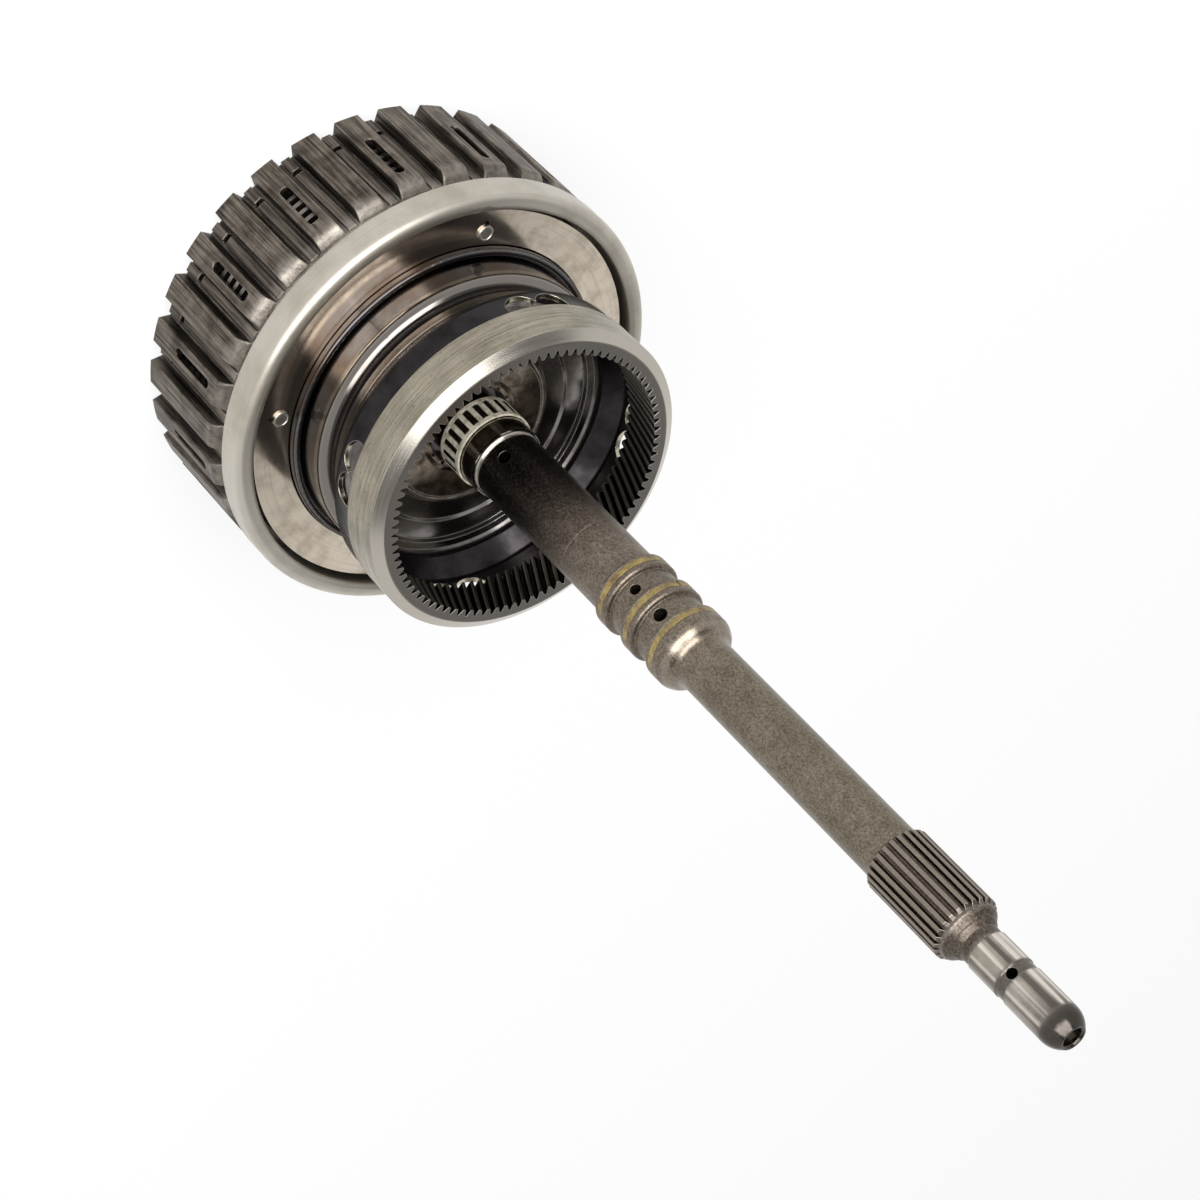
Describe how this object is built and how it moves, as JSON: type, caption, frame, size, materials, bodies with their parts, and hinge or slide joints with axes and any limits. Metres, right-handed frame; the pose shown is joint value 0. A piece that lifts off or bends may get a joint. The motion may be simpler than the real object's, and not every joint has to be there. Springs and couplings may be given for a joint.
{
  "type": "input shaft clutch drum",
  "caption": "Automatic transmission input shaft with splined end, seal rings and needle bearing, fixed to a lobed clutch drum that carries an internal ring gear and a multi-plate clutch.",
  "frame": {"origin": "centre of the drum's open rim, on the shaft axis", "axes": "+Z along the shaft towards its nose; +X towards the side the picture shows"},
  "size_m": [0.1656, 0.1656, 0.402],
  "materials": {
    "shaft_steel": "dark oxidised forged steel, ground at the journals",
    "shell_steel": "stamped steel, dark and oiled, worn on the lands",
    "rim_steel": "turned satin steel",
    "head_steel": "turned and polished steel with dark oil film",
    "cover_steel": "polished steel sheet",
    "rivet_steel": "bare steel",
    "dish_steel": "stamped steel, dark and oiled",
    "gear_steel": "ground steel outside, dark teeth inside",
    "cage_steel": "pale plated steel",
    "spring_steel": "hardened spring and bearing steel",
    "plate_steel": "steel sheet",
    "lining": "paper based friction lining",
    "seal_resin": "amber resin",
    "seal_rubber": "moulded rubber",
    "piston_aluminium": "cast aluminium, machined",
    "bushing_bronze": "bronze"
  },
  "bodies": {
    "drum_assembly": {"input_shaft": "shaft_steel", "nose_plug": "spring_steel", "pilot_bushing": "bushing_bronze", "shaft_snap_ring": "spring_steel", "clutch_drum": "shell_steel", "rim_ring": "rim_steel", "drum_head": "head_steel", "cover_plate": "cover_steel", "cover_rivets": "rivet_steel", "gear_dish": "dish_steel", "ring_gear": "gear_steel", "return_spring": "spring_steel", "spring_retainer": "plate_steel", "retainer_seal": "seal_rubber", "retainer_snap_ring": "spring_steel", "end_plate": "plate_steel", "pack_snap_ring": "spring_steel"},
    "seal_ring_1": {"seal_ring_1": "seal_resin"},
    "seal_ring_2": {"seal_ring_2": "seal_resin"},
    "seal_ring_3": {"seal_ring_3": "seal_resin"},
    "needle_bearing": {"needle_cage": "cage_steel", "needle_rollers": "spring_steel"},
    "piston": {"piston": "piston_aluminium", "apply_ring": "plate_steel", "piston_outer_seal": "seal_rubber", "piston_inner_seal": "seal_rubber"},
    "steel_1": {"steel_plate_1": "plate_steel"},
    "friction_1": {"friction_plate_1": "plate_steel", "friction_lining_1": "lining"},
    "steel_2": {"steel_plate_2": "plate_steel"},
    "friction_2": {"friction_plate_2": "plate_steel", "friction_lining_2": "lining"},
    "steel_3": {"steel_plate_3": "plate_steel"},
    "friction_3": {"friction_plate_3": "plate_steel", "friction_lining_3": "lining"},
    "steel_4": {"steel_plate_4": "plate_steel"},
    "friction_4": {"friction_plate_4": "plate_steel", "friction_lining_4": "lining"},
    "steel_5": {"steel_plate_5": "plate_steel"},
    "friction_5": {"friction_plate_5": "plate_steel", "friction_lining_5": "lining"}
  },
  "joints": [
    {"name": "piston_slide", "type": "slide", "parent": "drum_assembly", "child": "piston", "axis": [0, 0, -1], "range_m": [0, 0.00228], "stiffness_N_per_m": 60000, "deforming": ["return_spring"]},
    {"name": "steel_1_slide", "type": "slide", "parent": "drum_assembly", "child": "steel_1", "axis": [0, 0, -1], "range_m": [0, 0.00038]},
    {"name": "friction_1_spin", "type": "hinge", "parent": "steel_1", "child": "friction_1", "pos_m": [0, 0, 0.01575], "axis": [0, 0, 1], "continuous": true},
    {"name": "steel_2_slide", "type": "slide", "parent": "drum_assembly", "child": "steel_2", "axis": [0, 0, -1], "range_m": [0, 0.00076]},
    {"name": "friction_2_spin", "type": "hinge", "parent": "steel_2", "child": "friction_2", "pos_m": [0, 0, 0.01985], "axis": [0, 0, 1], "continuous": true},
    {"name": "steel_3_slide", "type": "slide", "parent": "drum_assembly", "child": "steel_3", "axis": [0, 0, -1], "range_m": [0, 0.00114]},
    {"name": "friction_3_spin", "type": "hinge", "parent": "steel_3", "child": "friction_3", "pos_m": [0, 0, 0.02395], "axis": [0, 0, 1], "continuous": true},
    {"name": "steel_4_slide", "type": "slide", "parent": "drum_assembly", "child": "steel_4", "axis": [0, 0, -1], "range_m": [0, 0.00152]},
    {"name": "friction_4_spin", "type": "hinge", "parent": "steel_4", "child": "friction_4", "pos_m": [0, 0, 0.02805], "axis": [0, 0, 1], "continuous": true},
    {"name": "steel_5_slide", "type": "slide", "parent": "drum_assembly", "child": "steel_5", "axis": [0, 0, -1], "range_m": [0, 0.0019]},
    {"name": "friction_5_spin", "type": "hinge", "parent": "steel_5", "child": "friction_5", "pos_m": [0, 0, 0.03215], "axis": [0, 0, 1], "continuous": true},
    {"name": "seal_ring_1_spin", "type": "hinge", "parent": "drum_assembly", "child": "seal_ring_1", "pos_m": [0, 0, 0.179], "axis": [0, 0, 1], "continuous": true},
    {"name": "seal_ring_2_spin", "type": "hinge", "parent": "drum_assembly", "child": "seal_ring_2", "pos_m": [0, 0, 0.19345], "axis": [0, 0, 1], "continuous": true},
    {"name": "seal_ring_3_spin", "type": "hinge", "parent": "drum_assembly", "child": "seal_ring_3", "pos_m": [0, 0, 0.2079], "axis": [0, 0, 1], "continuous": true},
    {"name": "needle_bearing_spin", "type": "hinge", "parent": "drum_assembly", "child": "needle_bearing", "pos_m": [0, 0, 0.0868], "axis": [0, 0, 1], "continuous": true}
  ],
  "couplings": [
    {"joint": "steel_1_slide", "follows": "piston_slide", "ratio": 0.16667},
    {"joint": "steel_2_slide", "follows": "piston_slide", "ratio": 0.33333},
    {"joint": "steel_3_slide", "follows": "piston_slide", "ratio": 0.5},
    {"joint": "steel_4_slide", "follows": "piston_slide", "ratio": 0.66667},
    {"joint": "steel_5_slide", "follows": "piston_slide", "ratio": 0.83333}
  ]
}
